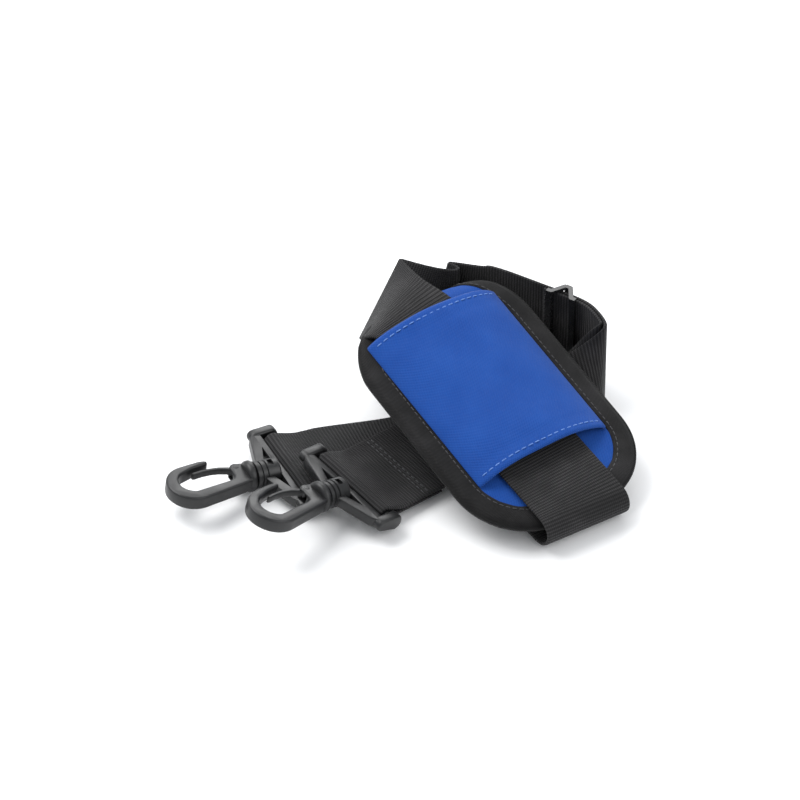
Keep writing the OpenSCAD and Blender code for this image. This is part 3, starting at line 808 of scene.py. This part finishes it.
def make_sleeve():
    """The sleeve's cloth with both hems turned under, and its rows of stitches."""
    shares = np.sin(np.linspace(-1, 1, SLEEVE_COLUMNS) * math.pi / 2)
    path = sleeve_path()
    # four draws for two phases, which keeps every later draw where it was
    wide_phase, narrow_phase, *_ = [random.uniform(0, FULL_TURN) for _ in range(4)]
    grid = np.zeros((len(path), len(shares), 3))
    for i, (y, lift) in enumerate(path):
        ridge = HEM_RIDGE * math.exp(-((abs(y) - SLEEVE_END + HEM) / RIDGE_WIDTH) ** 2)
        for j, share in enumerate(shares):
            calm = max(0.0, 1 - abs(share) ** 6)
            wave = WIDE_WAVE * math.sin(share * 7 + y / 11 + wide_phase)
            wave += NARROW_WAVE * math.sin(y / 6.5 + share * 3 + narrow_phase)
            grid[i, j] = sleeve_point(share, y, lift + calm * (wave - ridge))
    across = distances(grid[SLEEVE_ROW_MEASURED])
    along = distances(grid[:, SLEEVE_COLUMNS // 2])
    flat = np.stack(np.meshgrid(across, along), -1)
    half = np.full(grid.shape[:2], SLEEVE_THICK / 2)
    points, faces, uv = slab(grid, half, flat)
    sleeve = finish_piece(new_piece("pad_sleeve_cloth", points, faces, [CANVAS], uv), "pad", "fabric_blue",
                          "pad_sleeve")
    for end, y in (("upper", SLEEVE_END - HEM_SEAM), ("lower", -SLEEVE_END + HEM_SEAM)):
        track = np.linspace(-SEAM_HALF, SEAM_HALF, SEAM_POINTS)
        seam = [sleeve_point(s, y, SLEEVE_THICK / 2 + 0.12) for s in track]
        over = [sleeve_point(s, y, 2) - sleeve_point(s, y, 1) for s in track]
        stitches("sleeve_stitches_" + end, [(seam, over, *HEM_STITCH)], THREAD_BLUE, "pad",
                             "thread_blue", "sleeve_stitching_" + end)


# ---- swivel snap hooks ------------------------------------------------------------
# in a hook's own frame: X from the hook towards the webbing, the gate on the +Y side
BEND = (-34.0, 0.0)
BEND_OUTER = 13.8
OPENING = (-32.8, 0.9)
OPENING_R = 8.0
HINGE = (-7.6, 5.0)
HOOK_HALF = 3.8
HOOK_BEVEL = 1.2
STEM_R = 4.6
SLOT_HALF = 27.0
EAR_THICK = 5.6
EAR_BEVEL = 1.3
STRUT_HALF, STRUT_BEVEL = 2.7, 0.7
CROSS_HALF, CROSS_BEVEL = 2.6, 0.9
GATE_HALF, GATE_BEVEL = 1.9, 0.5
PIN_R, PIN_BEVEL = 1.5, 0.3
PIN_PROUD = 0.15
AXIS_R = 0.1
# profiles about the swivel's axis as (x, radius)
COLLAR = [(-4.6, AXIS_R), (-4.6, 6.6), (-4.0, 7.5), (-3.2, 8.1), (-1.4, 8.3), (-0.7, 7.9), (-0.45, 7.2),
          (-0.45, STEM_R), (1.2, STEM_R), (1.2, AXIS_R)]
BARREL = [(0.25, AXIS_R), (0.25, 6.6), (0.7, 7.2), (2.3, 7.3), (2.6, 6.6), (3.3, 6.6), (3.6, 7.3), (5.3, 7.3),
          (5.6, 6.6), (6.2, 6.6), (6.5, 7.3), (12.8, 7.3), (13.6, 6.6), (13.8, AXIS_R)]
STRUT = [(4.2, 5.6), (9.2, 5.6), (13.4, 17.6), (13.4, 4.6), (17.0, 4.6), (17.0, SLOT_HALF + 1),
         (12.6, SLOT_HALF + 2.4), (10.2, 26.2)]
CROSS = [(13.4, -SLOT_HALF - 1), (17.0, -SLOT_HALF - 1), (17.0, SLOT_HALF + 1), (13.4, SLOT_HALF + 1)]
NOSE = [(-30, 14.5), (-25, 15.1), (-21.4, 14.9), (-20.0, 13.9), (-20.2, 12.6), (-21.6, 11.8), (-25, 11.5),
        (-29.5, 10.6)]
GATE_OUTER = [(-7.6, 7.0), (-10.6, 8.4), (-15, 9.6), (-20, 10.1), (-25, 10.0), (-29.4, 9.4), (-30.6, 8.6)]
GATE_INNER = [(-30.3, 7.7), (-29.0, 7.5), (-25, 8.2), (-20, 8.4), (-15.5, 7.9), (-11.5, 6.6), (-9.4, 4.6)]
# boxes cut out: the gate's slot in the hook and the window in the barrel
GATE_SLOT = ((-17.5, 0.2, -2.5), (-4.4, 12.0, 2.5))
WINDOW = ((7.6, -2.1, 5.4), (10.4, 2.1, 9.0))
SMOOTH_UNDER = math.radians(38)


def inset_loop(outline, distance):
    """The outline, which may run either way round, moved inwards by the distance."""
    loop = np.array(outline, float)
    ahead = unit(np.roll(loop, -1, 0) - loop)
    behind = np.roll(ahead, 1, 0)
    inward = unit(np.stack([-(ahead + behind)[:, 1], (ahead + behind)[:, 0]], -1))
    area = np.sum(loop[:, 0] * np.roll(loop[:, 1], -1) - np.roll(loop[:, 0], -1) * loop[:, 1])
    return loop + inward * distance * (1 if area > 0 else -1)


def add_prism(work, outline, low, high, bevel, axes=Matrix.Identity(4)):
    """A closed prism over the outline, with its rims rounded by rings."""
    quarter = [math.radians(a) for a in (90, 60, 30, 0)]
    levels = [(low + bevel * (1 - math.cos(a)), bevel * (1 - math.sin(a))) for a in quarter[::-1]]
    levels += [(high - bevel * (1 - math.cos(a)), bevel * (1 - math.sin(a))) for a in quarter]
    rings = [[work.verts.new(axes @ Vector((x, y, z))) for x, y in inset_loop(outline, inset_by)]
             for z, inset_by in levels]
    work.faces.new(rings[0][::-1])
    work.faces.new(rings[-1])
    count = len(outline)
    for below, above in zip(rings, rings[1:]):
        for i in range(count):
            j = (i + 1) % count
            work.faces.new((below[i], below[j], above[j], above[i]))


def add_lathe(work, profile, axes=Matrix.Identity(4), sides=40):
    """A closed solid of revolution about X from (x, radius) points that start and end by the axis."""
    rings = []
    for x, radius in profile:
        angles = np.linspace(0, 2 * math.pi, sides, endpoint=False)
        circle = [(x, radius * math.cos(a), radius * math.sin(a)) for a in angles]
        rings.append([work.verts.new(axes @ Vector(point)) for point in circle])
    for low, high in zip(rings, rings[1:]):
        for i in range(sides):
            j = (i + 1) % sides
            work.faces.new((low[i], low[j], high[j], high[i]))
    work.faces.new(rings[0][::-1])
    work.faces.new(rings[-1])


def carved(name, matrix, fill, boxes):
    """A plastic piece filled in its own frame, with boxes cut out of it."""
    work = bmesh.new()
    fill(work)
    bmesh.ops.recalc_face_normals(work, faces=work.faces)
    mesh = bpy.data.meshes.new(name)
    work.to_mesh(mesh)
    work.free()
    obj = bpy.data.objects.new(name, mesh)
    bpy.context.scene.collection.objects.link(obj)
    cutters = []
    for low, high in boxes:
        cut = bmesh.new()
        bmesh.ops.create_cube(cut, size=1)
        size = Vector(high) - Vector(low)
        centre = (Vector(low) + Vector(high)) / 2
        cut.transform(Matrix.Translation(centre) @ Matrix.Diagonal((*size, 1)))
        cut_mesh = bpy.data.meshes.new("cutter")
        cut.to_mesh(cut_mesh)
        cut.free()
        cutter = bpy.data.objects.new("cutter", cut_mesh)
        bpy.context.scene.collection.objects.link(cutter)
        cutters.append(cutter)
        modifier = obj.modifiers.new("cut", "BOOLEAN")
        modifier.object = cutter
        modifier.use_self = True
    bpy.context.view_layer.update()
    done = bpy.data.meshes.new_from_object(obj.evaluated_get(bpy.context.evaluated_depsgraph_get()))
    obj.modifiers.clear()
    for cutter in cutters:
        bpy.data.objects.remove(cutter)
    done.transform(Matrix.Diagonal((MM, MM, MM, 1)) @ matrix)
    done.materials.clear()
    done.materials.append(PLASTIC)
    obj.data = done
    for face in done.polygons:
        face.use_smooth = True
    done.set_sharp_from_angle(angle=SMOOTH_UNDER)
    return obj


def hook_outline():
    """The hook in plan: back, bend, nose, opening, hinge."""
    return ([(-2, -6.9), (-9, -8.9)] + plan_arc(BEND, BEND_OUTER, 281, 98, 40) + NOSE
            + plan_arc(OPENING, OPENING_R, 104, 256, 26) + [(-15, -3.9), (-12.4, -3.0), (-11.2, -1.2)]
            + plan_arc(HINGE, 3.3, 200, 60, 12) + [(-2, 7.1)])


def fill_hook(work):
    """The hook with the collar and stem that turn in its base."""
    add_prism(work, hook_outline(), -HOOK_HALF, HOOK_HALF, HOOK_BEVEL)
    add_lathe(work, COLLAR)


def fill_gate(work):
    """The gate's tongue and its pin."""
    tongue = GATE_OUTER + GATE_INNER + plan_arc(HINGE, 1.9, 200, 420, 12)
    add_prism(work, tongue, -GATE_HALF, GATE_HALF, GATE_BEVEL)
    pin_half = HOOK_HALF + PIN_PROUD
    add_prism(work, plan_arc(HINGE, PIN_R, 0, 345, 24), -pin_half, pin_half, PIN_BEVEL)


def ear_outline():
    """An ear seen along the bar: rounded at both ends, larger round the bar."""
    return plan_arc((14.6, 0), 3.3, 262, 98, 12) + plan_arc((BAR_BACK + 0.2, 0), 4.7, 78, -78, 16)


def fill_base(work):
    """The swivel's barrel, its struts and crosspiece, and the ears that hold the webbing's bar."""
    add_lathe(work, BARREL)
    quarter = math.pi / 2
    for flip in (1, -1):
        outline = [(x, y * flip) for x, y in STRUT]
        add_prism(work, outline if flip > 0 else outline[::-1], -STRUT_HALF, STRUT_HALF, STRUT_BEVEL)
        ear_at = Matrix.Translation((0, flip * (SLOT_HALF + EAR_THICK / 2), 0))
        upright = ear_at @ Matrix.Rotation(quarter, 4, "X")
        add_prism(work, ear_outline(), -EAR_THICK / 2, EAR_THICK / 2, EAR_BEVEL, upright)
    add_prism(work, CROSS, -CROSS_HALF, CROSS_HALF, CROSS_BEVEL)
    along_y = Matrix.Translation((BAR_BACK, 0, 0)) @ Matrix.Rotation(quarter, 4, "Z")
    reach = SLOT_HALF + 1
    add_lathe(work, [(-reach, AXIS_R), (-reach, BAR_R), (reach, BAR_R), (reach, AXIS_R)], along_y, 28)


def make_hooks():
    for end, matrix in (("front", FRONT), ("rear", REAR)):
        hook = carved(end + "_snap_hook", matrix, fill_hook, [GATE_SLOT])
        finish_piece(hook, end + "_snap", "plastic", end + "_hook")
        gate = carved(end + "_snap_gate", matrix, fill_gate, [])
        finish_piece(gate, end + "_latch", "plastic", end + "_gate")
        base = carved(end + "_swivel_frame", matrix, fill_base, [WINDOW])
        finish_piece(base, end + "_base", "plastic", end + "_swivel_base")


# ---- carried-over CAD node --------------------------------------------------------
TRIGLIDE_BEVEL = 0.6


def dress(node, material, width):
    """A CAD node kept as it is, with softened edges and its own material."""
    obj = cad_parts[node]
    obj.data.materials.clear()
    obj.data.materials.append(material)
    bevel = obj.modifiers.new("soft_edges", "BEVEL")
    bevel.width = width * MM
    bevel.segments = 3
    bevel.limit_method = "ANGLE"
    bevel.angle_limit = math.radians(35)


# ---- stage -----------------------------------------------------------------------
FLOOR_HALF, FLOOR_TOP = 3000, -0.3
WORLD_STRENGTH = 0.75
# each light's name, place in metres, size in metres and power in watts
LIGHTS = [("key", (-0.7, 0.35, 1.1), 0.9, 16), ("fill", (0.9, -0.6, 0.9), 1.0, 7),
          ("back", (0.1, 1.2, 0.8), 0.8, 8)]
CAMERA_ELEVATION = math.radians(40)
CAMERA_DISTANCE = 2.8
CAMERA_SENSOR = 36
VIEW_WIDTH = 0.4184


def make_stage():
    """A pale floor, soft light from all round and three area lights."""
    n = Nodes("pale_surface")
    tone = n.noise(scale=3, detail=3)
    colour = n.ramp(tone, [(0.3, (0.86, 0.865, 0.87)), (0.7, (0.9, 0.9, 0.9))])
    n.done(colour, 0.7, n.bump(tone, 0.0005, 0.05))
    corners = [(x * FLOOR_HALF, y * FLOOR_HALF, FLOOR_TOP) for x, y in ((-1, -1), (1, -1), (1, 1), (-1, 1))]
    floor = new_piece("floor", corners, [(0, 1, 2, 3)], [n.material])
    world = bpy.data.worlds.new("studio")
    bpy.context.scene.world = world
    world.use_nodes = True
    background = world.node_tree.nodes["Background"]
    background.inputs["Color"].default_value = (0.95, 0.97, 1, 1)
    background.inputs["Strength"].default_value = WORLD_STRENGTH
    for name, place, size, power in LIGHTS:
        data = bpy.data.lights.new(name, "AREA")
        data.size = size
        data.energy = power
        light = bpy.data.objects.new(name, data)
        light.location = place
        light.rotation_euler = (-Vector(place)).to_track_quat("-Z", "Y").to_euler()
        bpy.context.scene.collection.objects.link(light)


def make_camera():
    """Looks along +Y and down, from far enough for the photograph's flat perspective."""
    target = ORIGIN_SHIFT * MM
    data = bpy.data.cameras.new("camera")
    data.sensor_width = CAMERA_SENSOR
    data.lens = data.sensor_width * CAMERA_DISTANCE / VIEW_WIDTH
    data.clip_start = 0.05
    camera = bpy.data.objects.new("camera", data)
    back = Vector((0, -math.cos(CAMERA_ELEVATION), math.sin(CAMERA_ELEVATION)))
    camera.location = target + back * CAMERA_DISTANCE
    camera.rotation_euler = (-back).to_track_quat("-Z", "Y").to_euler()
    bpy.context.scene.collection.objects.link(camera)
    bpy.context.scene.camera = camera


make_camera()
make_stage()
make_pad()
make_binding()
make_sleeve()
strap_piece, strap_length = make_strap()
stitch_pieces = strap_stitches()
make_hooks()
dress("triglide", GLOSS_PLASTIC, TRIGLIDE_BEVEL)
bpy.context.scene.view_settings.view_transform = "Standard"
